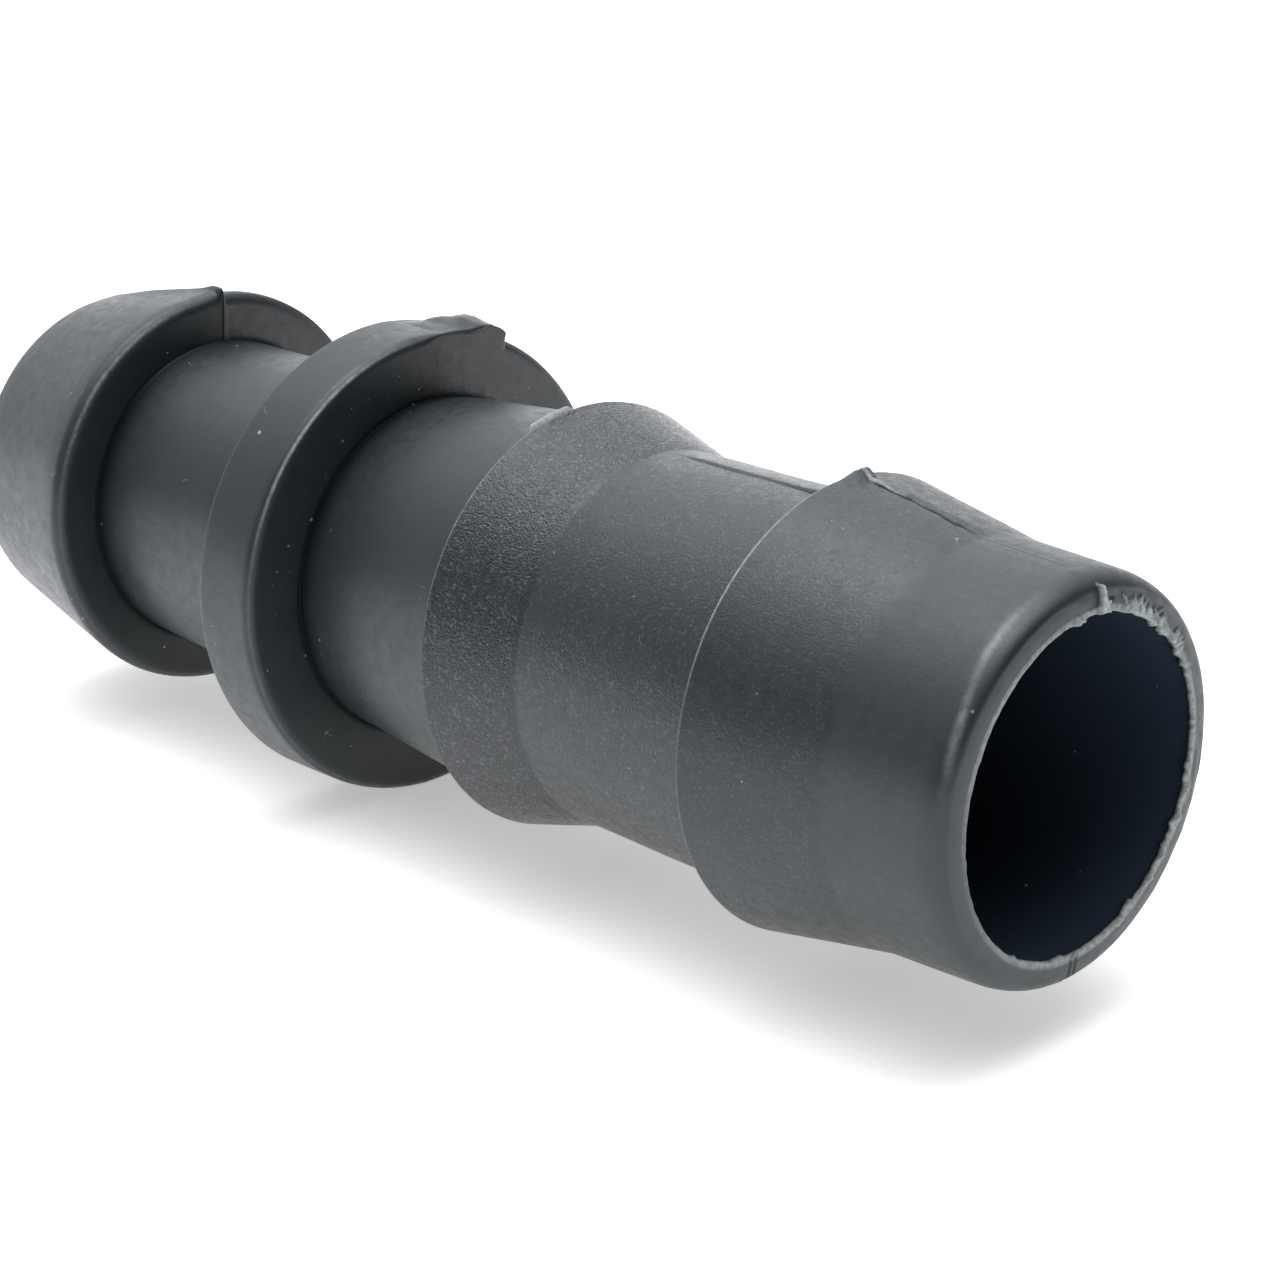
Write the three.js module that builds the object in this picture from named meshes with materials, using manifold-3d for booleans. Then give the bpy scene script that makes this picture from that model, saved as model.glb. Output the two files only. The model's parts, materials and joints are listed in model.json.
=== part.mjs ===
// One-piece barbed pipe connector for 16 mm irrigation pipe.
// A spigot with one barb pushes through a wall grommet up to the stop collar,
// and a double-barbed tail takes the pipe. Water runs straight through the bore.
// Millimetres. The bore lies along X, the pipe tail points to +X and +Z is up.
// The origin is on the bore axis, halfway between the two ends.

import * as THREE from "three";
import { mergeVertices } from "three/addons/utils/BufferGeometryUtils.js";
import Module from "manifold-3d";

// ---- Lengths along the axis, from the spigot end to the pipe mouth ----

const spigotBarbLength = 7.1;
const grooveLength = 9.45;
const collarThickness = 2.8;
const firstNeckLength = 7.7;
const firstBarbLength = 3.55;
const secondNeckLength = 8.25;
const secondBarbLength = 5.15;
const tailNoseLength = 3.4;
const mouthLipLength = 1.1;

// ---- Radii of the plain stretches, and how far each barb stands proud ----

const spigotNoseRadius = 6.25;
const spigotNeckRadius = 5.8;
const spigotNeckDraft = 0.25;
const spigotBarbStand = 1.9;
const collarStand = 2.31;
const tailRadius = 6.62;
const tailDraft = 0.1;
const firstNeckWaist = 0.48;
const firstNeckFlare = 0.7;
const firstBarbStand = 0.87;
const secondBarbStand = 0.98;

// ---- Walls left around the bore ----

const mouthWall = 1.14;
const throatWall = 1.06;
const spigotWall = 0.8;

// ---- Rounded edges and corners ----

const spigotNoseRound = 0.58;
const spigotRimRound = 0.5;
const collarFarRound = 0.15;
const collarNearRound = 0.4;
const grooveRootRound = 0.3;
const collarRootRound = 0.6;
const barbRimRound = 0.06;
const mouthLipDrop = 0.49;
const mouthEdgeRound = 0.08;
const spigotBoreRound = 0.15;

// ---- Gate vestige, the broken-off stub of moulding gate on the collar ----

const gateHeight = 0.22;
const gateWidth = 3.4;
const gateFacetsFromTop = 3;
const gateEdgeInset = 0.25;
const gateSideSlope = 0.5;

// ---- Fineness of the round surfaces ----

const segmentsAround = 64;
const cornerStepAngle = Math.PI / 6;

// ---- Stations along the axis ----

const overallLength =
  spigotBarbLength + grooveLength + collarThickness + firstNeckLength + firstBarbLength +
  secondNeckLength + secondBarbLength + tailNoseLength + mouthLipLength;
const spigotEnd = -overallLength / 2;
const spigotShoulder = spigotEnd + spigotBarbLength;
const collarFarFace = spigotShoulder + grooveLength;
const collarNearFace = collarFarFace + collarThickness;
const firstBarbRim = collarNearFace + firstNeckLength;
const firstBarbFoot = firstBarbRim + firstBarbLength;
const secondBarbRim = firstBarbFoot + secondNeckLength;
const secondBarbFoot = secondBarbRim + secondBarbLength;
const lipStart = secondBarbFoot + tailNoseLength;
const mouthFace = lipStart + mouthLipLength;

// ---- Radii at the stations ----

const spigotNeckAtCollar = spigotNeckRadius + spigotNeckDraft;
const spigotBarbRadius = spigotNeckRadius + spigotBarbStand;
const firstNeckAtCollar = tailRadius - firstNeckWaist;
const collarRadius = Math.max(spigotNeckAtCollar, firstNeckAtCollar) + collarStand;
const firstNeckAtBarb = firstNeckAtCollar + firstNeckFlare;
const firstBarbRadius = tailRadius + firstBarbStand;
const firstBarbFootRadius = tailRadius - tailDraft;
const secondBarbRadius = tailRadius + secondBarbStand;
const secondBarbFootRadius = tailRadius + tailDraft;
const lipRadius = tailRadius - mouthLipDrop;
const mouthBoreRadius = tailRadius - mouthWall;
const throatBoreRadius = Math.min(spigotNeckAtCollar, firstNeckAtCollar) - throatWall;
const spigotBoreRadius = spigotNeckRadius - spigotWall;

/**
 * Turns an outline of corners into points, replacing each rounded corner by an arc.
 * A corner is [position along the axis, radius from the axis, corner radius].
 */
function roundCorners(corners) {
  const points = [];
  corners.forEach(([along, out, wanted = 0], index) => {
    const corner = new THREE.Vector2(along, out);
    const [beforeAlong, beforeOut] = corners.at(index - 1);
    const [afterAlong, afterOut] = corners[(index + 1) % corners.length];
    const toBefore = new THREE.Vector2(beforeAlong, beforeOut).sub(corner);
    const toAfter = new THREE.Vector2(afterAlong, afterOut).sub(corner);
    const room = Math.min(toBefore.length(), toAfter.length()) * 0.49;
    const opening = Math.acos(toBefore.normalize().dot(toAfter.normalize()));
    const radius = Math.min(wanted, room * Math.tan(opening / 2));
    if (radius === 0) {
      points.push(corner);
      return;
    }
    const bisector = toBefore.clone().add(toAfter).normalize();
    const centre = corner.clone().addScaledVector(bisector, radius / Math.sin(opening / 2));
    const reach = radius / Math.tan(opening / 2);
    const start = corner.clone().addScaledVector(toBefore, reach).sub(centre);
    const turned = Math.sign(toAfter.cross(toBefore)) * (Math.PI - opening);
    const steps = Math.max(1, Math.ceil((Math.PI - opening) / cornerStepAngle));
    for (let step = 0; step <= steps; step += 1) {
      const onArc = start.clone().rotateAround(new THREE.Vector2(), (turned * step) / steps);
      points.push(onArc.add(centre));
    }
  });
  return points;
}

/** The outline of the wall: along the outside to the mouth, then back through the bore. */
function wallOutline() {
  const lip = new THREE.EllipseCurve(
    lipStart, lipRadius, mouthLipLength, mouthLipDrop, Math.PI / 2, 0, true,
  );
  const lipCorners = lip.getPoints(4).map((point) => [point.x, point.y]);
  const outside = [
    [spigotEnd, spigotNoseRadius, spigotNoseRound],
    [spigotShoulder, spigotBarbRadius, spigotRimRound],
    [spigotShoulder, spigotNeckRadius, grooveRootRound],
    [collarFarFace, spigotNeckAtCollar, grooveRootRound],
    [collarFarFace, collarRadius, collarFarRound],
    [collarNearFace, collarRadius, collarNearRound],
    [collarNearFace, firstNeckAtCollar, collarRootRound],
    [firstBarbRim, firstNeckAtBarb],
    [firstBarbRim, firstBarbRadius, barbRimRound],
    [firstBarbFoot, firstBarbFootRadius],
    [secondBarbRim, tailRadius],
    [secondBarbRim, secondBarbRadius, barbRimRound],
    [secondBarbFoot, secondBarbFootRadius],
    ...lipCorners,
  ];
  const bore = [
    [mouthFace, mouthBoreRadius, mouthEdgeRound],
    [collarNearFace, throatBoreRadius],
    [spigotEnd, spigotBoreRadius, spigotBoreRound],
  ];
  return roundCorners([...outside, ...bore]);
}

/** Revolves the wall about the bore axis, with a flat facet facing straight down. */
function revolvedWall() {
  const outline = wallOutline().map((point) => new THREE.Vector2(point.y, point.x));
  outline.push(outline[0].clone());
  const geometry = new THREE.LatheGeometry(outline, segmentsAround);
  geometry.rotateY(Math.PI / segmentsAround);
  geometry.rotateZ(-Math.PI / 2);
  return geometry;
}

/** A low pad with sloping sides across the collar, just behind its top and rooted in it. */
function gateVestige() {
  const rootDepth = collarStand / 2;
  const top = collarRadius + gateHeight;
  const bottom = collarRadius - rootDepth;
  const topHalf = gateWidth / 2 - gateSideSlope;
  const section = new THREE.Shape();
  section.moveTo(-gateWidth / 2, bottom);
  section.lineTo(gateWidth / 2, bottom);
  section.lineTo(gateWidth / 2, collarRadius - gateSideSlope / 2);
  section.lineTo(topHalf, top);
  section.lineTo(-topHalf, top);
  section.lineTo(-gateWidth / 2, collarRadius - gateSideSlope / 2);
  section.closePath();
  const length = collarThickness - 2 * gateEdgeInset;
  const geometry = new THREE.ExtrudeGeometry(section, { depth: length, bevelEnabled: false });
  geometry.rotateX(Math.PI / 2);
  geometry.rotateZ(Math.PI / 2);
  geometry.rotateX((-2 * Math.PI * gateFacetsFromTop) / segmentsAround);
  geometry.translate(collarFarFace + gateEdgeInset, 0, 0);
  return geometry;
}

const wasm = await Module();
wasm.setup();

/** A solid for joining, from a closed geometry. */
function toSolid(geometry) {
  const bare = geometry.clone();
  bare.deleteAttribute("normal");
  bare.deleteAttribute("uv");
  const merged = mergeVertices(bare, 1e-5);
  const mesh = new wasm.Mesh({
    numProp: 3,
    vertProperties: merged.attributes.position.array,
    triVerts: Uint32Array.from(merged.index.array),
  });
  return new wasm.Manifold(mesh);
}

/** A geometry with flat shading, from a solid. */
function toGeometry(solid) {
  const mesh = solid.getMesh();
  const indexed = new THREE.BufferGeometry();
  indexed.setAttribute("position", new THREE.BufferAttribute(mesh.vertProperties, 3));
  indexed.setIndex(new THREE.BufferAttribute(mesh.triVerts, 1));
  const flat = indexed.toNonIndexed();
  flat.computeVertexNormals();
  return flat;
}

const blackPolypropylene = new THREE.MeshStandardMaterial({
  name: "black_polypropylene",
  color: 0x1d2324,
  roughness: 0.5,
  metalness: 0,
});

function barbedConnectorBody() {
  const body = toSolid(revolvedWall()).add(toSolid(gateVestige()));
  const mesh = new THREE.Mesh(toGeometry(body), blackPolypropylene);
  mesh.name = "barbed_connector_body";
  return mesh;
}

const group = new THREE.Group();
group.name = "barbed_pipe_connector";
group.add(barbedConnectorBody());

export default group;
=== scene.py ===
import json
import math

import bpy
import numpy as np
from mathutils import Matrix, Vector


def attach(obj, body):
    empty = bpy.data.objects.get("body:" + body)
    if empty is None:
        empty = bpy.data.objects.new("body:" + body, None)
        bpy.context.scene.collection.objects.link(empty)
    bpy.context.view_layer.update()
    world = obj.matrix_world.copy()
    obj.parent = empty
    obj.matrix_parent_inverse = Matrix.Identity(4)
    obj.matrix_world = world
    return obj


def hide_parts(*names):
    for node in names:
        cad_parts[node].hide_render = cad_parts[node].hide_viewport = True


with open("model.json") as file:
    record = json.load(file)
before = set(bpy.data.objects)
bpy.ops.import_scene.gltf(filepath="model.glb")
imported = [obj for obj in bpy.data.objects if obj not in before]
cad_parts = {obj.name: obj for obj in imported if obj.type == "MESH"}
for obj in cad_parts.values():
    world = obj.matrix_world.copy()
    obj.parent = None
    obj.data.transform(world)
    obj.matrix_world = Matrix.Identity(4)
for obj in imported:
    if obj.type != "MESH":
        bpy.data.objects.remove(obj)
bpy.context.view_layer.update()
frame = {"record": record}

# A straight barbed connector for 16 mm irrigation pipe, moulded in black polypropylene.
# The CAD frame gives its place and stations; this script makes the moulded surface:
# rounded rims, the two mould halves and their parting line, flash, the gate scar and
# the ragged pipe mouth. Lengths are in millimetres until the mesh is made in metres.

MM = 0.001
CAD_NODE = "barbed_connector_body"


# ---- Stations along the bore axis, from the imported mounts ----

def mount_x(name):
    """Place of a mount along the bore axis, in millimetres."""
    for mount in frame["record"]["mounts"]:
        if mount["name"] == name:
            return mount["pos_m"][0] / MM
    raise KeyError(name)


SPIGOT_END = mount_x("spigot_end_face")
SPIGOT_SHOULDER = mount_x("spigot_barb_shoulder")
COLLAR_FAR = mount_x("collar_wall_face")
COLLAR_NEAR = mount_x("collar_pipe_face")
MOUTH = mount_x("pipe_mouth_face")
NECK_1_LENGTH = 7.7
BARB_1_LENGTH = 3.55
NECK_2_LENGTH = 8.25
BARB_2_LENGTH = 5.15
LIP_LENGTH = 1.1
BARB_1_RIM = COLLAR_NEAR + NECK_1_LENGTH
BARB_1_FOOT = BARB_1_RIM + BARB_1_LENGTH
BARB_2_RIM = BARB_1_FOOT + NECK_2_LENGTH
BARB_2_FOOT = BARB_2_RIM + BARB_2_LENGTH
LIP_START = MOUTH - LIP_LENGTH

# ---- Radii ----

SPIGOT_NOSE_R = 6.25
SPIGOT_BARB_R = 7.7
SPIGOT_NECK_R = 5.8
SPIGOT_NECK_AT_COLLAR_R = 6.05
COLLAR_R = 8.45
NECK_1_AT_COLLAR_R = 6.14
NECK_1_AT_BARB_R = 6.84
BARB_1_R = 7.49
BARB_1_FOOT_R = 6.52
NECK_2_AT_BARB_R = 6.62
BARB_2_R = 7.6
BARB_2_FOOT_R = 6.72
NOSE_R = 6.62
LIP_DROP = 0.49
MOUTH_BORE_R = 5.48
THROAT_R = 4.99
SPIGOT_BORE_R = 5.0

# ---- Fineness ----

CORNER_STEP = math.radians(15)
SMALL_CORNER = 0.1
SMALL_CORNER_STEP = math.radians(30)
LIP_STEPS = 9
# How far down each barb's cone the closely spaced stations reach.
BARB_1_FINE = 0.45
BARB_2_FINE = 0.18
TURN_STEPS = [
    # from, to and step about the bore, in degrees
    (-62.0, -11.5, 0.5),
    (-11.5, 15.5, 0.36),
    (15.5, 170.5, 1.55),
    (170.5, 182.5, 0.5),
    (182.5, 298.0, 1.1),
]
BORE_STRETCHES = ("mouth_edge", "mouth_bore", "throat", "spigot_bore")
# Where the parting line is a plain low ridge.
PLAIN_STRETCHES = (
    "spigot_root", "collar_near_root", "barb_1_rim", "barb_1_cone", "barb_2_foot",
)


def round_corners(corners):
    """Replaces each rounded corner of an outline by an arc.
    A corner is (name, along the axis, radius, corner radius, spacing of the stretch after it)."""
    points = []
    for index, (name, along, out, wanted, spacing) in enumerate(corners):
        corner = Vector((along, out))
        to_before = Vector(corners[index - 1][1:3]) - corner
        to_after = Vector(corners[(index + 1) % len(corners)][1:3]) - corner
        room = min(to_before.length, to_after.length) * 0.49
        to_before.normalize()
        to_after.normalize()
        opening = math.acos(max(-1.0, min(1.0, to_before.dot(to_after))))
        radius = min(wanted, room * math.tan(opening / 2))
        if radius <= 0:
            points.append((name, corner, spacing))
            continue
        bisector = (to_before + to_after).normalized()
        centre = corner + bisector * (radius / math.sin(opening / 2))
        start = corner + to_before * (radius / math.tan(opening / 2)) - centre
        side = to_after.x * to_before.y - to_after.y * to_before.x
        turned = math.copysign(math.pi - opening, side)
        corner_step = SMALL_CORNER_STEP if radius < SMALL_CORNER else CORNER_STEP
        steps = max(2, math.ceil((math.pi - opening) / corner_step))
        for step in range(steps + 1):
            angle = turned * step / steps
            cos, sin = math.cos(angle), math.sin(angle)
            onward = Vector((start.x * cos - start.y * sin, start.x * sin + start.y * cos))
            points.append((name, centre + onward, spacing if step == steps else radius))
    return points


def wall_outline():
    """Names and points (along, out) of the wall's outline, outside first, then the bore."""
    lip = []
    for step in range(LIP_STEPS + 1):
        angle = math.pi / 2 * step / LIP_STEPS
        along = LIP_START + LIP_LENGTH * math.sin(angle)
        lip.append(("lip", along, NOSE_R - LIP_DROP * (1 - math.cos(angle)), 0, 0.09))
    cone_1_r = BARB_1_R + BARB_1_FINE * (BARB_1_FOOT_R - BARB_1_R) / BARB_1_LENGTH
    cone_2_r = BARB_2_R + BARB_2_FINE * (BARB_2_FOOT_R - BARB_2_R) / BARB_2_LENGTH
    corners = [
        ("spigot_end", SPIGOT_END, SPIGOT_NOSE_R, 0.58, 0.8),
        ("spigot_rim", SPIGOT_SHOULDER, SPIGOT_BARB_R, 0.5, 0.2),
        ("spigot_root", SPIGOT_SHOULDER, SPIGOT_NECK_R, 0.04, 1.1),
        ("collar_far_root", COLLAR_FAR, SPIGOT_NECK_AT_COLLAR_R, 0.2, 0.6),
        ("collar_far_rim", COLLAR_FAR, COLLAR_R, 0.15, 0.2),
        ("collar_near_rim", COLLAR_NEAR, COLLAR_R, 0.4, 0.2),
        ("collar_near_root", COLLAR_NEAR, NECK_1_AT_COLLAR_R, 0.05, 0.9),
        ("barb_1_root", BARB_1_RIM, NECK_1_AT_BARB_R, 0.03, 0.2),
        ("barb_1_rim", BARB_1_RIM, BARB_1_R, 0.07, 0.09),
        ("barb_1_cone", BARB_1_RIM + BARB_1_FINE, cone_1_r, 0, 0.34),
        ("barb_1_foot", BARB_1_FOOT, BARB_1_FOOT_R, 0.3, 0.46),
        ("barb_2_root", BARB_2_RIM, NECK_2_AT_BARB_R, 0.03, 0.2),
        ("barb_2_rim", BARB_2_RIM, BARB_2_R, 0.07, 0.09),
        ("barb_2_rim", BARB_2_RIM + BARB_2_FINE, cone_2_r, 0, 0.36),
        ("barb_2_foot", BARB_2_FOOT, BARB_2_FOOT_R, 2.0, 0.42),
        *lip,
        ("mouth_edge", MOUTH, MOUTH_BORE_R, 0.08, 0.13),
        ("mouth_bore", MOUTH - 0.9, MOUTH_BORE_R - 0.012, 0, 4.0),
        ("throat", COLLAR_NEAR, THROAT_R, 0, 4.0),
        ("spigot_bore", SPIGOT_END, SPIGOT_BORE_R, 0.15, 0.3),
    ]
    points = round_corners(corners)
    names = []
    places = []
    for index, (name, point, spacing) in enumerate(points):
        after = points[(index + 1) % len(points)][1]
        steps = max(1, math.ceil((after - point).length / spacing))
        for step in range(steps):
            names.append(name)
            places.append(tuple(point.lerp(after, step / steps)))
    return np.array(names), np.array(places)


# ---- Turning: angles run in degrees from +Z towards -Y ----

PARTING = -3.5


def turn_angles():
    """Angles about the bore in degrees, closer together where the torn flash is."""
    angles = [np.arange(start, end - step / 2, step) for start, end, step in TURN_STEPS]
    return (np.concatenate(angles) + 180) % 360 - 180


def ramp(value, start, end):
    """0 before start, 1 past end, smooth between."""
    t = np.clip((value - start) / (end - start), 0, 1)
    return t * t * (3 - 2 * t)


def bell(value, centre, half):
    """1 at the centre, 0 at half a width away, smooth between."""
    return ramp(np.abs(value - centre), half, 0)


def jagged(turn, points, seed):
    """Broken line of random heights 0 to 1 once around the bore."""
    heights = np.random.default_rng(seed).random(points)
    return np.interp(turn, np.linspace(-180, 180, points + 1), np.append(heights, heights[0]))


def lumps(along, turn, across, size, seed):
    """Smooth random relief of about -1 to 1: waves of about the given size in millimetres."""
    random = np.random.default_rng(seed)
    relief = 0
    for _ in range(10):
        around = random.integers(1, max(2, round(2 * math.pi * across / size)))
        lengthwise = random.uniform(-1, 1) * 2 * math.pi / size
        phase = random.uniform(0, 2 * math.pi)
        relief = relief + np.sin(np.radians(turn) * around + along * lengthwise + phase)
    return relief / 3.2


# ---- Marks of moulding ----

FIN_HEIGHT = 0.19
TAB_HEIGHT = 0.23
FLAP_RISE = 0.17
STRAND_RISE = 0.15
NICK_DEPTH = 0.10
CROWN_DROP = 0.06
# The stub's height at degrees back from the top: at its far side, its crest and its near side.
GATE_FAR = ([3.6, 5, 6.5, 14.6, 19.6, 24.5, 26], [0, -0.04, -0.05, -0.05, 0.08, 0.1, 0])
GATE_CREST = (
    [3.6, 4.6, 8, 12, 17.5, 21, 24, 25.6, 26.4],
    [0, -0.03, 0.12, 0.30, 0.44, 0.46, 0.39, 0.28, 0],
)
GATE_NEAR = ([13, 17.8, 20, 23.5, 25.4, 26.2], [0, 0.22, 0.38, 0.28, 0.25, 0])
# The flap's two edges in degrees, at radii from the bore outwards.
FLAP_RADII = [5.4, 5.7, 5.95, 6.15, 6.35]
FLAP_LEFT = [-2.0, -2.9, -3.3, -3.2, -2.9]
FLAP_RIGHT = [-9.0, -7.0, -5.9, -5.5, -4.2]


def on(names, *wanted):
    """1 on the named stretches of the outline and 0 elsewhere."""
    return np.isin(names, wanted)[:, None].astype(float)


def spigot_fin(names, along, out, turn):
    """A fin of flash along the spigot barb where the two mould halves met."""
    past = turn - PARTING
    profile = np.where(past >= 0, np.clip(1 - past / 10, 0, 1) ** 2.2, ramp(past, -0.9, 0))
    height = FIN_HEIGHT * (0.3 + 0.7 * ramp(along, SPIGOT_END + 0.2, SPIGOT_END + 3.2))
    crest = profile * height * on(names, "spigot_end", "spigot_rim")
    crest = crest * ramp(out, SPIGOT_NOSE_R - 0.5, SPIGOT_NOSE_R)
    square = 0.75 * bell(turn, PARTING + 0.35, 1.5) * on(names, "spigot_rim") * ramp(out, 6.9, 7.25)
    move_out = crest + square * np.clip(SPIGOT_BARB_R - out, 0, 0.6)
    at_rim = ramp(along, SPIGOT_SHOULDER - 0.6, SPIGOT_SHOULDER - 0.4)
    return square * np.clip(SPIGOT_SHOULDER - along, 0, 0.6) * at_rim, move_out


def at_face(names, along, face, *stretches):
    """1 on a flat face across the axis, 0 on the stretches that run away from it."""
    return on(names, *stretches) * bell(along, face, 0.3)


def drafted_faces(names, along, out, turn):
    """The flat faces lean with each mould half's draft, and the spigot's meet in a step."""
    across = np.sin(np.radians(turn - PARTING))
    away = np.abs(out * across)
    back_half = ramp(across, 0.02, -0.06)
    blended = ramp(across, 0.3, -0.3)
    spigot = at_face(names, along, SPIGOT_SHOULDER, "spigot_rim", "spigot_root")
    near = at_face(names, along, COLLAR_NEAR, "collar_near_rim", "collar_near_root")
    move = spigot * (-0.02 * back_half - away * (0.010 + 0.022 * back_half))
    return move - near * away * (0.008 + 0.014 * blended), 0


def gate_scar(names, along, out, turn):
    """The broken stub of the moulding gate: a lump across the collar, steepest where it broke."""
    back = -turn
    far = np.interp(back, *GATE_FAR)
    crest = np.interp(back, *GATE_CREST)
    near = np.interp(back, *GATE_NEAR)
    from_far = ramp(along, COLLAR_FAR + 0.15, COLLAR_FAR + 1.5)
    to_near = ramp(along, COLLAR_NEAR - 0.9, COLLAR_NEAR - 0.1)
    height = far * (1 - from_far) + crest * from_far * (1 - to_near) + near * to_near
    uneven = 0.05 * lumps(along, turn, COLLAR_R, 1.3, 11)
    uneven = uneven + 0.02 * lumps(along, turn, COLLAR_R, 0.45, 12)
    height = height + uneven * ramp(height, 0.03, 0.2)
    over = on(names, "collar_far_rim", "collar_near_rim")
    over = over * ramp(along, COLLAR_FAR + 0.02, COLLAR_FAR + 0.2)
    above = ramp(out, COLLAR_R - 0.6, COLLAR_R - 0.25)
    filled = 0.8 * ramp(back, -3, 5) * (1 - ramp(back, 25.6, 26.6))
    filled = filled * on(names, "collar_near_rim")
    filled = filled * ramp(along, COLLAR_NEAR - 0.6, COLLAR_NEAR - 0.3)
    filled = filled * ramp(out, COLLAR_R - 0.6, COLLAR_R - 0.35)
    move_out = over * above * height + filled * np.clip(COLLAR_R - out, 0, 0.6)
    return filled * np.clip(COLLAR_NEAR - along, 0, 0.6), move_out


def flake(names, along, turn):
    """0 to 1 on the ragged flake of flash along the first barb's rim."""
    reach = 0.05 + 0.24 * jagged(turn, 210, 24) * ramp(turn, 19, 14)
    wide = ramp(turn, 3.4, 4.4) * (1 - ramp(turn, 17, 19.5))
    past = along - BARB_1_RIM
    return on(names, "barb_1_root", "barb_1_rim") * wide * (1 - ramp(past, reach, reach + 0.05))


def barb_flash(names, along, out, turn):
    """Loose flash on the rims of the two pipe barbs."""
    first = on(names, "barb_1_root", "barb_1_rim")
    first = first * ramp(out, NECK_1_AT_BARB_R + 0.25, BARB_1_R - 0.1)
    petal = flake(names, along, turn)
    second = on(names, "barb_2_root", "barb_2_rim") * ramp(out, BARB_2_R - 0.5, BARB_2_R - 0.15)
    second = second * (1 - ramp(along, BARB_2_RIM + 0.15, BARB_2_RIM + 0.6))
    tab = ramp(-turn, -3.5, 4.9) * (1 - ramp(-turn, 6.3, 7.0))
    at_rims = on(names, "barb_1_rim") * bell(along, BARB_1_RIM, 0.12)
    at_rims = at_rims + on(names, "barb_2_rim") * bell(along, BARB_2_RIM, 0.12)
    nick = -0.03 * ramp(jagged(turn, 230, 22), 0.7, 1.0)
    lower = bell(turn, 171.5, 7) * (0.6 + 0.4 * jagged(turn, 300, 23))
    ahead = -0.22 * petal * first * (1 - ramp(along, BARB_1_RIM, BARB_1_RIM + 0.2))
    raised = 0.09 * petal * first + TAB_HEIGHT * tab * second
    return ahead + 0.05 * tab * second, raised + nick * at_rims + 0.09 * lower * second


def seam_wander(along):
    """How far the torn parting line strays from straight, in degrees."""
    return 0.2 * np.sin(along * 1.9) + 0.18 * np.sin(along * 5.3 + 1) + 0.14 * np.sin(along * 11.7)


def parting_line(names, along, out, turn):
    """The witness line of the mould halves, with a torn strip and a crevice on the second neck."""
    past = turn - PARTING
    outer = 1 - on(names, *BORE_STRETCHES)
    behind = np.where(past < 0, 1.0, 0.0)
    wander = seam_wander(along)
    neck = on(names, "barb_1_foot") * ramp(along, BARB_1_FOOT + 0.5, BARB_1_FOOT + 1.4)
    towards_barb = ramp(along, BARB_2_RIM - 3.5, BARB_2_RIM - 0.5)
    strip = (0.045 + 0.055 * towards_barb) * (1 - ramp(-past, 1.5, 11))
    strip = strip * ramp(past + wander, -0.75, -1.25)
    deep = 0.03 + 0.14 * ramp(along, BARB_2_RIM - 1.6, BARB_2_RIM - 0.1)
    wide = 0.75 + 1.2 * ramp(along, BARB_2_RIM - 1.3, BARB_2_RIM)
    move = neck * (strip - deep * bell(past + 0.35 + wander, 0, wide))
    cone = on(names, "barb_2_rim") * ramp(along, BARB_2_RIM + 0.2, BARB_2_RIM + 0.5)
    cone = cone * (1 - ramp(along, BARB_2_FOOT - 0.9, BARB_2_FOOT + 0.3))
    torn = 0.7 + 0.7 * lumps(along, turn, BARB_2_R, 0.9, 31) * bell(past, -1.5, 3)
    edge = ramp(past + wander, -0.6, -1.2)
    step = 0.07 * behind * edge * (1 - ramp(-past, 1, 9)) * torn
    step = step - 0.05 * bell(past + 0.5 + wander, 0, 0.8)
    move = move + cone * step
    plain = outer * on(names, *PLAIN_STRETCHES)
    move = move + plain * 0.016 * bell(past, 0, 0.7)
    under = np.abs(np.abs(turn - PARTING) - 180)
    below = outer * 0.035 * (0.6 + 0.5 * np.sin(along * 1.3)) * bell(under, 0, 0.9)
    fin = on(names, "barb_2_rim") * ramp(along, BARB_2_RIM + 1.8, BARB_2_RIM + 2.6)
    fin = fin * 0.13 * bell(under, 1.4, 2.2) * (1 - ramp(along, BARB_2_FOOT - 0.9, BARB_2_FOOT))
    return 0, move + below + fin


MOUTH_TABS = [
    # angle, half width in degrees, how far it hangs into the bore
    (7.5, 3.0, 0.07), (-17.0, 4.0, 0.04), (-34.0, 3.0, 0.13), (-40.0, 2.5, 0.17),
    (-54.0, 2.6, 0.16), (-60.0, 1.8, 0.08), (-99.0, 1.7, 0.13), (-103.0, 1.5, 0.07),
    (-119.0, 2.2, 0.12), (-127.0, 2.4, 0.16), (-139.0, 2.0, 0.06), (-150.5, 2.4, 0.26),
    (-154.0, 1.6, 0.08), (172.0, 3.0, 0.08), (147.0, 2.0, 0.07), (64.0, 3.0, 0.04),
    (98.0, 2.5, 0.04),
]

STRANDS = [
    # between which angles, how many, and the longest reach in millimetres
    (-60, -36, 14, 0.5), (-35, -19, 13, 0.62), (-26, -19, 7, 0.62),
    (-100, -62, 8, 0.25), (-158, -104, 16, 0.3), (4, 10, 2, 0.2),
]


def mouth_roughness(turn):
    """How ragged the mouth's rim is at each angle, 0 to 1."""
    torn = bell(turn, -36, 34) + 0.55 * bell(turn, -112, 62) + 0.45 * bell(turn, 5, 9)
    torn = torn + 0.35 * bell(np.abs(turn), 168, 22)
    return np.clip(torn, 0.06, 1)


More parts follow.
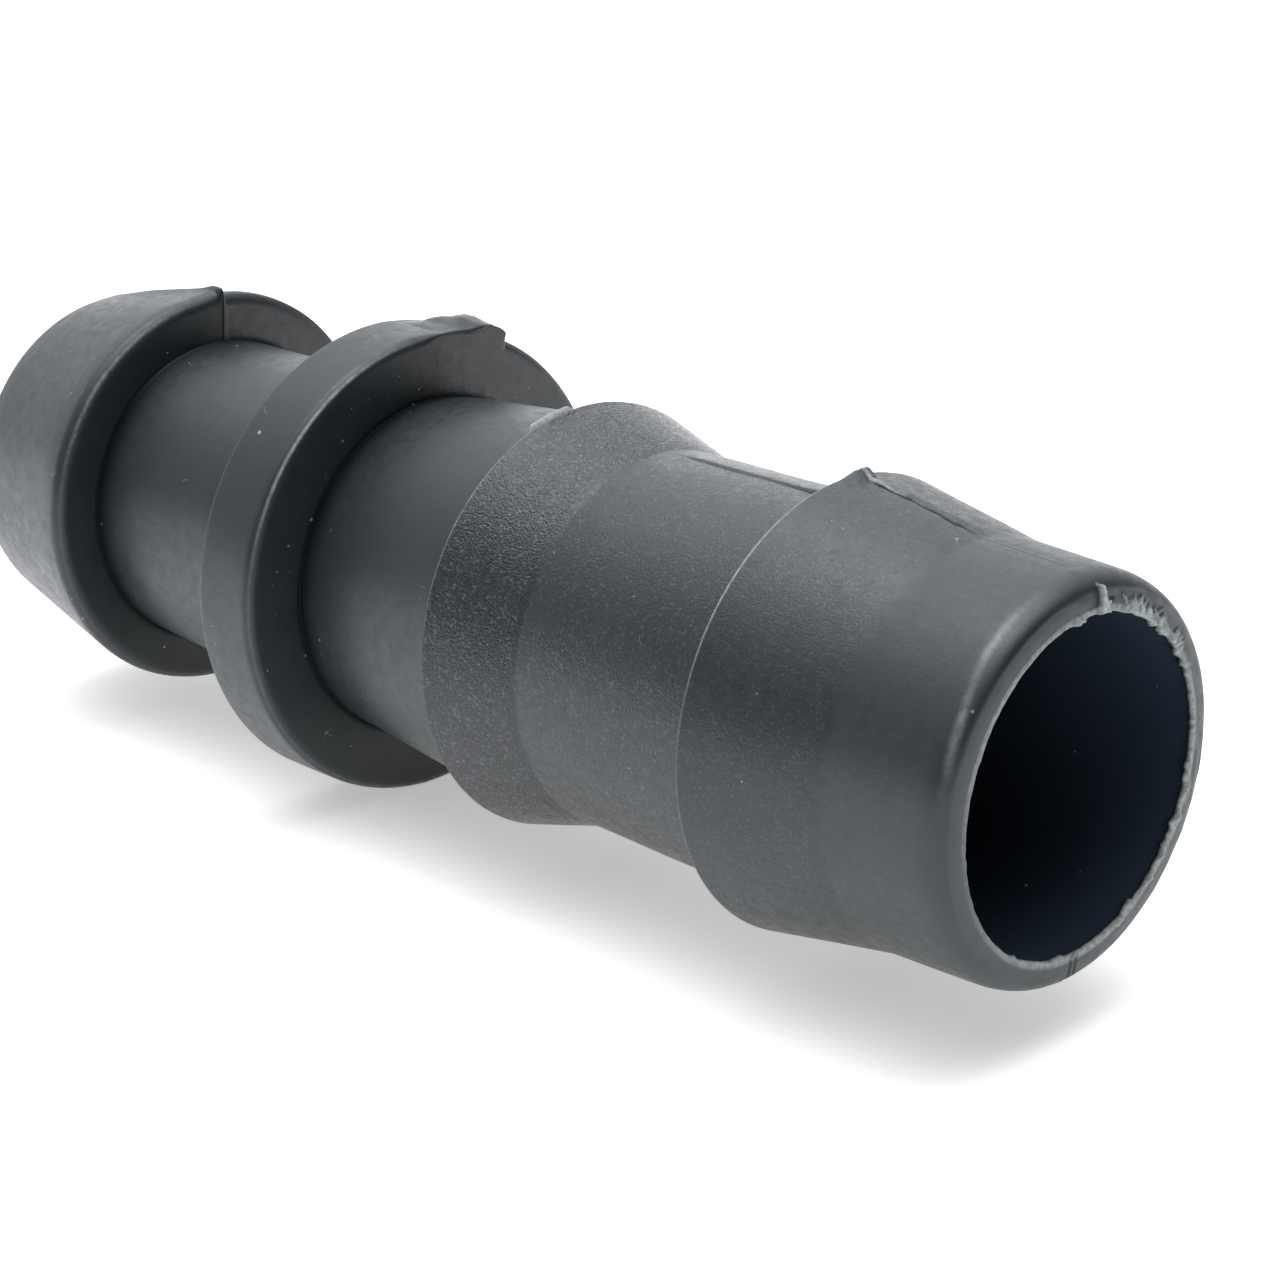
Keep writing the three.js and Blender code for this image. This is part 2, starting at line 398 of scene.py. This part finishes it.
def mouth_strands(turn, out):
    """Torn strands standing on the mouth's rim face, 0 to 1, most of them behind its top."""
    random = np.random.default_rng(47)
    strands = 0
    for start, end, count, longest in STRANDS:
        for _ in range(count):
            centre = random.uniform(start, end)
            lean = random.uniform(-16, 16)
            half = random.uniform(1.0, 3.4)
            reach = random.uniform(0.12, longest)
            height = random.uniform(0.35, 1.0)
            along_strand = (out - MOUTH_BORE_R) / reach
            width = np.clip(half * (1 - 0.8 * along_strand), 0.05, None)
            across = bell(turn, centre + lean * (out - MOUTH_BORE_R), width)
            strands = np.maximum(strands, height * across * (1 - ramp(along_strand, 0.7, 1.05)))
    return strands


def mouth_flap(turn, out):
    """The one flap turned up across the rim at its top, 0 to 1, with a ragged tip."""
    left = np.interp(out, FLAP_RADII, FLAP_LEFT)
    right = np.interp(out, FLAP_RADII, FLAP_RIGHT)
    inside = ramp(turn, right, right + 0.5) * (1 - ramp(turn, left - 0.5, left))
    tip = 6.24 + 0.12 * jagged(turn, 330, 46)
    inside = inside * ramp(out, MOUTH_BORE_R - 0.1, MOUTH_BORE_R + 0.05)
    return inside * (1 - ramp(out, tip, tip + 0.1))


def ragged_mouth(names, along, out, turn):
    """Torn flash round the edge of the bore, with one flap turned up over the rim."""
    rough = mouth_roughness(turn)
    hang = 0.09 * rough * jagged(turn, 190, 41) + 0.06 * rough * jagged(turn, 410, 42)
    hang = hang + 0.03 * jagged(turn, 260, 40)
    for angle, half, reach in MOUTH_TABS:
        hang = hang + reach * bell(turn + 0.5 * np.sin(turn * 3), angle, half)
    edge = on(names, "mouth_edge") * ramp(along, MOUTH - 0.34, MOUTH - 0.08)
    face = on(names, "lip", "mouth_edge") * ramp(along, MOUTH - 0.12, MOUTH - 0.01)
    relief = lumps(along + out * 3, turn, MOUTH_BORE_R, 0.9, 43)
    strands = mouth_strands(turn, out)
    curl = face * (1 - ramp(out, MOUTH_BORE_R + 0.03, MOUTH_BORE_R + 0.22))
    flap = on(names, "lip", "mouth_edge") * mouth_flap(turn, out)
    nicks = bell(turn, 178.4, 0.8) + 0.8 * bell(turn, -179.2, 0.7)
    crown = np.clip((out - 5.62) / 0.51, 0, 1) ** 2
    crown = -CROWN_DROP * on(names, "lip", "mouth_edge") * crown
    torn = rough * 0.018 * relief + STRAND_RISE * strands - NICK_DEPTH * nicks
    curled = curl * (0.02 + 0.05 * rough * jagged(turn, 240, 45))
    move_along = crown + face * torn + curled + flap * FLAP_RISE
    return move_along, -hang * edge + 0.10 * flap * ramp(out, 6.0, 6.3)


def surface_waver(names, along, out, turn):
    """The slight waviness of a thick-walled moulding."""
    outer = 1 - on(names, *BORE_STRETCHES)
    waver = 0.010 * lumps(along, turn, 7, 9.0, 51) + 0.005 * lumps(along, turn, 7, 3.2, 52)
    return 0, outer * waver


# Each mark takes (names, along, out, turn) and returns how far it moves the surface
# along the axis and out from it.
MARKS = [
    spigot_fin, drafted_faces, gate_scar, barb_flash, parting_line, ragged_mouth, surface_waver,
]


def mould_mismatch(along):
    """Sideways (y) and upward (z) shift of each stretch, as the cavity inserts were seated."""
    stations = [
        SPIGOT_SHOULDER, SPIGOT_SHOULDER + 2.5,
        COLLAR_FAR - 0.6, COLLAR_FAR, COLLAR_NEAR, COLLAR_NEAR + 0.8,
    ]
    sideways = np.interp(along, stations, [0.020, 0, 0, -0.004, -0.004, 0])
    upward = np.interp(along, stations, [0.048, 0, 0, -0.045, -0.045, 0])
    return sideways, upward


# ---- Where the grain, the torn plastic, the painted rim highlights, the lip's scuff and highlight streak, the painted shade and the dust are ----

GRAIN = {
    "spigot_end": 0.22, "spigot_rim": 0.2, "spigot_root": 0.2,
    "collar_far_root": 0.2, "collar_far_rim": 0.2,
    "collar_near_rim": 0.25, "collar_near_root": 0.22,
    "barb_1_root": 0.3, "barb_1_rim": 0.95, "barb_1_cone": 1.0, "barb_1_foot": 0.65,
    "barb_2_root": 0.3, "barb_2_rim": 0.5, "barb_2_foot": 0.3, "lip": 0.2,
    "mouth_edge": 0.15, "mouth_bore": 0.2, "throat": 0.2, "spigot_bore": 0.2,
}
# The crest of each rim that carries a painted highlight line: along, out, and the width of that
# line.
CRESTS = {
    "spigot_rim": (SPIGOT_SHOULDER - 0.08, SPIGOT_BARB_R - 0.22, 0.18),
    "collar_near_rim": (COLLAR_NEAR - 0.117, COLLAR_R - 0.117, 0.11),
    "barb_1_rim": (BARB_1_RIM + 0.02, BARB_1_R - 0.02, 0.08),
    "barb_2_rim": (BARB_2_RIM + 0.03, BARB_2_R - 0.02, 0.10),
}
# The lip's pale band, partly a scuff and partly a painted highlight streak: its place behind the
# mouth and its strength, by angle.
LIP_SCUFF_AND_HIGHLIGHT_PLACE = ([20, 38, 55, 72], [-0.66, -0.60, -0.36, -0.24])
LIP_SCUFF_AND_HIGHLIGHT_STRENGTH = (
    [8, 20, 28, 36, 42, 48, 56, 64, 74, 84],
    [0, 0.2, 0.7, 1, 0.5, 0.4, 0.8, 0.6, 0.15, 0],
)


def torn_plastic(names, along, out, turn):
    """0 to 1 where the plastic is torn and whitened: the mouth's flash, the gate and the tabs."""
    rough = mouth_roughness(turn)
    face = on(names, "lip", "mouth_edge") * ramp(along, MOUTH - 0.35, MOUTH - 0.03)
    edge = face * (1 - ramp(out, MOUTH_BORE_R + 0.12, MOUTH_BORE_R + 0.26))
    edge = edge * (1 - 0.75 * bell(turn, 105, 55))
    strands = np.clip(1.5 * mouth_strands(turn, out), 0, 1)
    mouth = np.maximum(face * strands, edge * (0.6 + 0.4 * rough * jagged(turn, 130, 61)))
    flap = on(names, "lip", "mouth_edge") * mouth_flap(turn, out)
    gate = on(names, "collar_far_rim", "collar_near_rim") * ramp(out, COLLAR_R - 0.2, COLLAR_R)
    gate = 0.25 * gate * ramp(-turn, 16, 21) * (1 - ramp(-turn, 25, 27))
    petal = 0.55 * flake(names, along, turn) * ramp(out, BARB_1_R - 0.35, BARB_1_R - 0.1)
    seam = on(names, "barb_2_rim") * bell(turn - PARTING + 1.0 + seam_wander(along), 0, 1.0)
    seam = 0.8 * seam * (1 - ramp(along, BARB_2_RIM + 1.0, BARB_2_RIM + 2.6))
    return np.clip(mouth + flap + gate + petal + seam, 0, 1)


def rim_highlights_and_lip_scuff(names, along, out, turn):
    """Painted highlight lines, 1 along the crest of each rim and strongest where the light catches
    it, and the lip's pale band, partly a scuff and partly a painted highlight streak.
    """
    # Painted highlight: the rim lines are strongest about 40 degrees round from the top, where the
    # light catches the rims.
    lit_side = 0.12 + 0.88 * bell(turn, 40, 42)
    near = 0 * along
    for name, (crest_along, crest_out, reach) in CRESTS.items():
        distance = np.hypot(along - crest_along, out - crest_out)
        near = np.maximum(near, on(names, name) * ramp(distance, reach, 0) * lit_side)
    scuff_and_highlight_at = MOUTH + np.interp(turn, *LIP_SCUFF_AND_HIGHLIGHT_PLACE)
    scuff_and_highlight_strength = np.interp(turn, *LIP_SCUFF_AND_HIGHLIGHT_STRENGTH)
    lip_scuff_and_highlight = on(names, "lip") * scuff_and_highlight_strength * bell(along, scuff_and_highlight_at, 0.21)
    return np.maximum(near, 0.45 * lip_scuff_and_highlight)


def painted_shade_in_hollows(names, along, out, turn):
    """How dark and dull the surface is, 0 to 1: painted shade along the seams, in the sharp
    corners, the crevice and the notch, and, most, in the bore.
    """
    bore = on(names, *BORE_STRETCHES) * (out < MOUTH_BORE_R + 0.01)
    bore = bore * ramp(along, SPIGOT_END + 0.1, SPIGOT_END + 0.3)
    bore = bore * (1 - ramp(along, MOUTH - 0.13, MOUTH - 0.05))
    past = turn - PARTING
    wander = seam_wander(along)
    shoulder = at_face(names, along, SPIGOT_SHOULDER, "spigot_rim", "spigot_root")
    shoulder = shoulder * bell(past, 0, 0.8)
    spigot_corner = np.hypot(along - SPIGOT_SHOULDER, out - SPIGOT_NECK_R)
    corners = on(names, "spigot_rim", "spigot_root") * ramp(spigot_corner, 0.2, 0.08)
    corners = 0.5 * corners * (1 - bell(turn, 14, 40))
    collar_corner = np.hypot(along - COLLAR_NEAR, out - NECK_1_AT_COLLAR_R)
    near_root = on(names, "collar_near_rim", "collar_near_root")
    corners = corners + 0.5 * near_root * ramp(collar_corner, 0.25, 0.08)
    notch = 0.9 * on(names, "lip") * bell(out, 5.86 + 0.012 * (turn + 9), 0.09)
    notch = notch * bell(turn, -9.6, 2.6)
    crevice = on(names, "barb_1_foot") * ramp(along, BARB_1_FOOT + 0.8, BARB_1_FOOT + 1.6)
    crevice = crevice * (0.3 + 0.7 * ramp(along, BARB_2_RIM - 3.5, BARB_2_RIM - 1.0))
    crevice_width = 0.55 + 0.9 * ramp(along, BARB_2_RIM - 0.9, BARB_2_RIM)
    crevice = crevice * bell(past + 0.35 + wander, 0, crevice_width)
    cone = on(names, "barb_2_rim") * ramp(along, BARB_2_RIM + 0.4, BARB_2_RIM + 0.8)
    cone = cone * (1 - ramp(along, BARB_2_FOOT - 0.9, BARB_2_FOOT))
    cone = cone * bell(past + 0.45 + wander, 0, 0.55)
    return np.clip(bore + 0.6 * shoulder + corners + notch + crevice + 0.8 * cone, 0, 1)


def gathered_dust(names, along, out, turn):
    """How many of the specks show: most in the corner between the collar and the first neck."""
    corner = on(names, "collar_near_rim", "collar_near_root") * bell(along, COLLAR_NEAR, 1.6)
    corner = corner * (1 - ramp(out, NECK_1_AT_COLLAR_R + 0.8, NECK_1_AT_COLLAR_R + 1.6))
    return 0.2 + 0.8 * corner * bell(turn, 22, 50)


def moulded_body():
    """The connector as one closed mesh, its outline swept round the bore."""
    names, outline = wall_outline()
    turn = turn_angles()[None, :]
    along = outline[:, 0][:, None] + 0 * turn
    out = outline[:, 1][:, None] + 0 * turn
    move_along = 0 * along
    move_out = 0 * along
    for mark in MARKS:
        more_along, more_out = mark(names, along, out, turn)
        move_along = move_along + more_along
        move_out = move_out + more_out
    sideways, upward = mould_mismatch(along)
    radius = out + move_out
    angle = np.radians(turn)
    places = np.stack([
        along + move_along,
        sideways - radius * np.sin(angle),
        upward + radius * np.cos(angle),
    ], axis=-1) * MM
    stations, turns = along.shape
    index = np.arange(stations * turns).reshape(stations, turns)
    after = np.roll(index, -1, axis=0)
    quads = np.stack(
        [index, np.roll(index, -1, axis=1), np.roll(after, -1, axis=1), after], axis=-1)
    mesh = bpy.data.meshes.new("barbed_connector")
    mesh.from_pydata(places.reshape(-1, 3).tolist(), [], quads.reshape(-1, 4).tolist())
    mesh.validate()
    looks = {
        "grain": np.array([GRAIN[name] for name in names])[:, None] + 0 * turn,
        "torn": torn_plastic(names, along, out, turn),
        "highlight_and_scuff": rim_highlights_and_lip_scuff(names, along, out, turn),
        "painted_shade": painted_shade_in_hollows(names, along, out, turn),
        "dusty": gathered_dust(names, along, out, turn),
    }
    for label, values in looks.items():
        layer = mesh.attributes.new(label, "FLOAT", "POINT")
        layer.data.foreach_set("value", values.reshape(-1).astype(np.float32))
    body = bpy.data.objects.new("barbed_connector", mesh)
    bpy.context.scene.collection.objects.link(body)
    mesh.polygons.foreach_set("use_smooth", [True] * len(mesh.polygons))
    body.modifiers.new("flat_faces_stay_flat", "WEIGHTED_NORMAL")
    return body


# ---- Material ----

class Nodes:
    """Short ways to add and link shader nodes."""

    def __init__(self, tree):
        self.tree = tree

    def add(self, kind, inputs=None, **settings):
        """A new node, each input set to a value or linked from a socket."""
        node = self.tree.nodes.new(kind)
        for name, value in settings.items():
            setattr(node, name, value)
        for name, value in (inputs or {}).items():
            if isinstance(value, bpy.types.NodeSocket):
                self.tree.links.new(value, node.inputs[name])
            else:
                node.inputs[name].default_value = value
        return node

    def math(self, operation, *values):
        """The result of one arithmetic step."""
        inputs = dict(enumerate(values))
        return self.add("ShaderNodeMath", inputs, operation=operation).outputs[0]

    def fit(self, value, low, high, new_low, new_high):
        """A value carried from one range to another, held at its ends."""
        inputs = {
            "Value": value, "From Min": low, "From Max": high,
            "To Min": new_low, "To Max": new_high,
        }
        return self.add("ShaderNodeMapRange", inputs).outputs["Result"]

    def noise(self, place, size_mm, detail=2.0, roughness=0.5):
        """Smooth noise of about the given size."""
        inputs = {
            "Vector": place, "Scale": 1000 / size_mm, "Detail": detail, "Roughness": roughness,
        }
        return self.add("ShaderNodeTexNoise", inputs).outputs["Fac"]

    def mix(self, amount, first, second):
        """One colour blended towards another by an amount from 0 to 1."""
        node = self.add("ShaderNodeMix", data_type="RGBA")
        sockets = (node.inputs[0], node.inputs[6], node.inputs[7])
        for socket, value in zip(sockets, (amount, first, second)):
            if isinstance(value, bpy.types.NodeSocket):
                self.tree.links.new(value, socket)
            else:
                socket.default_value = value
        return node.outputs[2]

    def attribute(self, name):
        """The value stored with the mesh under this name."""
        return self.add("ShaderNodeAttribute", attribute_name=name).outputs["Fac"]

    def granules(self, place, size_mm):
        """A spark-eroded texture: each granule's height, and a random value from 0 to 1."""
        inputs = {"Vector": place, "Scale": 1000 / size_mm, "Randomness": 1.0}
        cells = self.add("ShaderNodeTexVoronoi", inputs)
        chance = self.add("ShaderNodeSeparateColor", {"Color": cells.outputs["Color"]})
        return self.math("SUBTRACT", 1.0, cells.outputs["Distance"]), chance.outputs[0]

    def fibres(self, place, size_mm, share):
        """Short fine curved hairs, 1 on a hair and 0 elsewhere."""
        winding = self.noise(place, size_mm, 1.0, 0.4)
        away = self.math("ABSOLUTE", self.math("SUBTRACT", winding, 0.5))
        line = self.math("LESS_THAN", away, 0.005)
        here = self.math("GREATER_THAN", self.noise(place, size_mm * 1.4, 0.0), 1 - share)
        return self.math("MULTIPLY", line, here)

    def specks(self, place, spacing_mm, share, size):
        """Small round specks in a share of the cells, 1 on a speck and 0 elsewhere."""
        inputs = {"Vector": place, "Scale": 1000 / spacing_mm, "Randomness": 1.0}
        cells = self.add("ShaderNodeTexVoronoi", inputs)
        chance = self.add("ShaderNodeSeparateColor", {"Color": cells.outputs["Color"]})
        chosen = self.math("LESS_THAN", chance.outputs[0], share)
        wide = self.fit(chance.outputs[1], 0, 1, size * 0.45, size)
        inside = self.math("LESS_THAN", cells.outputs["Distance"], wide)
        return self.math("MULTIPLY", chosen, inside)


PLASTIC_DARK = (0.013, 0.018, 0.020, 1)
PLASTIC_LIGHT = (0.024, 0.030, 0.033, 1)
GRAIN_SHADE = (0.008, 0.010, 0.011, 1)
# Colour of the painted glints on the granules.
PAINTED_GLINT_SHADE = (0.066, 0.071, 0.076, 1)
# Colour of the painted rim highlights and of the lip's band, partly a scuff and partly a painted
# highlight streak.
HIGHLIGHT_AND_SCUFF_SHADE = (0.40, 0.42, 0.41, 1)
TORN_SHADE = (0.42, 0.45, 0.44, 1)
# Painted shade colours: near black for seams, corners and crevices, dark blue for the bore.
CREVICE_PAINTED_SHADE = (0.005, 0.006, 0.007, 1)
BORE_PAINTED_SHADE = (0.019, 0.029, 0.045, 1)
DUST_SHADE = (0.34, 0.34, 0.31, 1)
GRAIN_DEPTH = 0.045 * MM
PEEL_DEPTH = 0.05 * MM


def black_polypropylene():
    """Satin black moulded plastic, coarser where the grain is high."""
    material = bpy.data.materials.new("moulded_black_polypropylene")
    material.use_nodes = True
    tree = material.node_tree
    shader = tree.nodes["Principled BSDF"]
    nodes = Nodes(tree)
    place = nodes.add("ShaderNodeTexCoord").outputs["Object"]
    grain = nodes.attribute("grain")
    torn = nodes.attribute("torn")
    highlight_and_scuff = nodes.attribute("highlight_and_scuff")
    painted_shade = nodes.attribute("painted_shade")
    dusty = nodes.attribute("dusty")

    height, chance = nodes.granules(place, 0.085)
    fine = nodes.noise(place, 0.07, 2.0, 0.6)
    coarse = nodes.noise(place, 0.19, 2.0, 0.6)
    blotchy = nodes.noise(place, 0.45, 3.0, 0.65)
    mottled = nodes.noise(place, 2.6, 4.0, 0.6)
    cloudy = nodes.noise(place, 7.0, 2.0, 0.5)

    base = nodes.mix(mottled, PLASTIC_DARK, PLASTIC_LIGHT)
    base = nodes.mix(nodes.math("MULTIPLY", grain, 0.5), base, GRAIN_SHADE)
    # Painted glints: a share of the granules take a pale colour that stands in for their specular
    # sparkle, most where the grain is coarse.
    painted_glint = nodes.fit(chance, 0.78, 1.0, 0.0, 1.0)
    painted_glint = nodes.math("MULTIPLY", painted_glint, nodes.fit(grain, 0.2, 1.0, 0.02, 1.0))
    base = nodes.mix(painted_glint, base, PAINTED_GLINT_SHADE)
    # Painted highlight: a pale line along each rim crest, broken by noise, and the lip's pale band,
    # partly a scuff and partly a painted highlight streak.
    broken_highlight_and_scuff = nodes.math("MULTIPLY", highlight_and_scuff, nodes.fit(coarse, 0.32, 0.6, 0.5, 1.0))
    base = nodes.mix(broken_highlight_and_scuff, base, HIGHLIGHT_AND_SCUFF_SHADE)
    white = nodes.math("MULTIPLY", torn, nodes.fit(coarse, 0.3, 0.65, 0.45, 1.0))
    base = nodes.mix(white, base, TORN_SHADE)
    # Painted shade: seams, sharp corners, the crevice and the notch are darkened towards near
    # black, and the deepest of them and the bore take a dark blue shade colour.
    base = nodes.mix(nodes.fit(painted_shade, 0.0, 0.5, 0.0, 1.0), base, CREVICE_PAINTED_SHADE)
    base = nodes.mix(nodes.fit(painted_shade, 0.5, 1.0, 0.0, 1.0), base, BORE_PAINTED_SHADE)
    dust = nodes.specks(place, 1.15, nodes.math("MULTIPLY", dusty, 0.30), 0.07)
    fine_dust = nodes.specks(place, 0.5, nodes.math("MULTIPLY", dusty, 0.34), 0.12)
    hairs = nodes.fibres(place, 0.8, 0.21)
    hairs = nodes.math("MULTIPLY", hairs, nodes.math("SUBTRACT", 1.0, painted_shade))
    faint = nodes.math("MAXIMUM", fine_dust, hairs)
    dirt = nodes.math("MAXIMUM", dust, nodes.math("MULTIPLY", faint, 0.5))
    base = nodes.mix(dirt, base, DUST_SHADE)
    tree.links.new(base, shader.inputs["Base Color"])

    rough = nodes.fit(cloudy, 0.3, 0.7, 0.385, 0.435)
    rough = nodes.math("ADD", rough, nodes.fit(blotchy, 0.3, 0.7, -0.07, 0.07))
    smoother = nodes.math("MULTIPLY", nodes.math("POWER", grain, 2.0), 0.13)
    rough = nodes.math("SUBTRACT", rough, smoother)
    varied = nodes.math("MULTIPLY", nodes.math("MULTIPLY", chance, grain), -0.2)
    varied = nodes.math("ADD", varied, nodes.math("MULTIPLY", grain, 0.08))
    rough = nodes.math("ADD", rough, varied)
    rough = nodes.math("ADD", rough, nodes.math("MULTIPLY", torn, 0.2))
    dull = nodes.math("MAXIMUM", dirt, painted_shade)
    rough = nodes.math("ADD", rough, nodes.math("MULTIPLY", dull, 0.3))
    tree.links.new(rough, shader.inputs["Roughness"])
    tree.links.new(nodes.fit(painted_shade, 0.0, 0.5, 0.5, 0.1), shader.inputs["Specular IOR Level"])
    shader.inputs["IOR"].default_value = 1.5

    granular = nodes.math("MULTIPLY", height, 0.35)
    grit = nodes.math("ADD", granular, nodes.math("MULTIPLY", fine, 0.65))
    relief = nodes.math("MULTIPLY", grit, nodes.math("POWER", grain, 1.5))
    skin = nodes.add("ShaderNodeBump", {
        "Height": relief, "Distance": GRAIN_DEPTH, "Strength": 1.0,
    })
    peel = nodes.noise(place, 0.9, 3.0, 0.6)
    tears = nodes.math("MULTIPLY", nodes.noise(place, 0.22, 3.0, 0.7), torn)
    broad = nodes.math("ADD", nodes.math("MULTIPLY", peel, 0.2), tears)
    bump = nodes.add("ShaderNodeBump", {
        "Height": broad, "Distance": PEEL_DEPTH, "Strength": 1.0, "Normal": skin.outputs["Normal"],
    })
    tree.links.new(bump.outputs["Normal"], shader.inputs["Normal"])
    return material


# ---- Stage ----

CAMERA_AZIMUTH = math.radians(44.94)
CAMERA_ELEVATION = math.radians(20.4)
CAMERA_FROM_MOUTH = Vector((52.864, -71.721, 37.486))
CAMERA_LENS = 90.0


def add_camera():
    """The camera where the photo's was, fitted to the outline of the rims."""
    data = bpy.data.cameras.new("camera")
    data.lens = CAMERA_LENS
    data.sensor_width = 36.0
    data.clip_start = 0.001
    camera = bpy.data.objects.new("camera", data)
    bpy.context.scene.collection.objects.link(camera)
    camera.location = (CAMERA_FROM_MOUTH + Vector((MOUTH, 0, 0))) * MM
    backward = Vector((
        math.sin(CAMERA_AZIMUTH) * math.cos(CAMERA_ELEVATION),
        -math.cos(CAMERA_AZIMUTH) * math.cos(CAMERA_ELEVATION),
        math.sin(CAMERA_ELEVATION),
    ))
    camera.rotation_euler = (-backward).to_track_quat("-Z", "Y").to_euler()
    bpy.context.scene.camera = camera


FLOOR_HALF_SIZE = 1.5
FLOOR_GLOW = 0.42


def add_floor(height):
    """A white light table."""
    mesh = bpy.data.meshes.new("floor")
    half = FLOOR_HALF_SIZE
    corners = [(-half, -half), (half, -half), (half, half), (-half, half)]
    mesh.from_pydata([(x, y, height) for x, y in corners], [], [(0, 1, 2, 3)])
    floor = bpy.data.objects.new("floor", mesh)
    bpy.context.scene.collection.objects.link(floor)
    material = bpy.data.materials.new("floor_white")
    material.use_nodes = True
    shader = material.node_tree.nodes["Principled BSDF"]
    shader.inputs["Base Color"].default_value = (0.9, 0.9, 0.9, 1)
    shader.inputs["Roughness"].default_value = 0.9
    shader.inputs["Emission Color"].default_value = (1, 1, 1, 1)
    shader.inputs["Emission Strength"].default_value = FLOOR_GLOW
    mesh.materials.append(material)


STUDIO_TINT = (0.98, 1.0, 1.035, 1)
SOFTBOX_SPREAD = 12.0
SOFTBOXES = [
    # azimuth from +X towards +Y, elevation, brightness
    (0, 90, 5.4), (120, 62, 1.1), (180, 62, 1.9), (240, 62, 0.8),
    (135, 36, 0.7), (225, 36, 0.25), (90, 10, 0.7), (135, 10, 1.6),
    (180, 10, 1.4), (225, 10, 0.25), (270, 50, 0.4),
]


def add_studio_light():
    """A soft overhead light and a pale wall behind, as broad glows on a dark room."""
    world = bpy.data.worlds.new("studio")
    bpy.context.scene.world = world
    world.use_nodes = True
    nodes = Nodes(world.node_tree)
    background = world.node_tree.nodes["Background"]
    direction = nodes.add("ShaderNodeTexCoord").outputs["Generated"]
    total = 0.0
    for azimuth, elevation, brightness in SOFTBOXES:
        azimuth, elevation = math.radians(azimuth), math.radians(elevation)
        towards = (
            math.cos(azimuth) * math.cos(elevation),
            math.sin(azimuth) * math.cos(elevation),
            math.sin(elevation),
        )
        facing = nodes.add(
            "ShaderNodeVectorMath", {0: direction, 1: towards}, operation="DOT_PRODUCT")
        away = nodes.math("SUBTRACT", facing.outputs["Value"], 1.0)
        glow = nodes.math("EXPONENT", nodes.math("MULTIPLY", away, SOFTBOX_SPREAD))
        total = nodes.math("ADD", nodes.math("MULTIPLY", glow, brightness), total)
    background.inputs["Color"].default_value = STUDIO_TINT
    world.node_tree.links.new(total, background.inputs["Strength"])


bpy.context.scene.view_settings.view_transform = "Standard"
body = moulded_body()
body.data.materials.append(black_polypropylene())
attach(body, "root")
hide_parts(CAD_NODE)
add_camera()
add_floor(min(vertex.co.z for vertex in body.data.vertices))
add_studio_light()
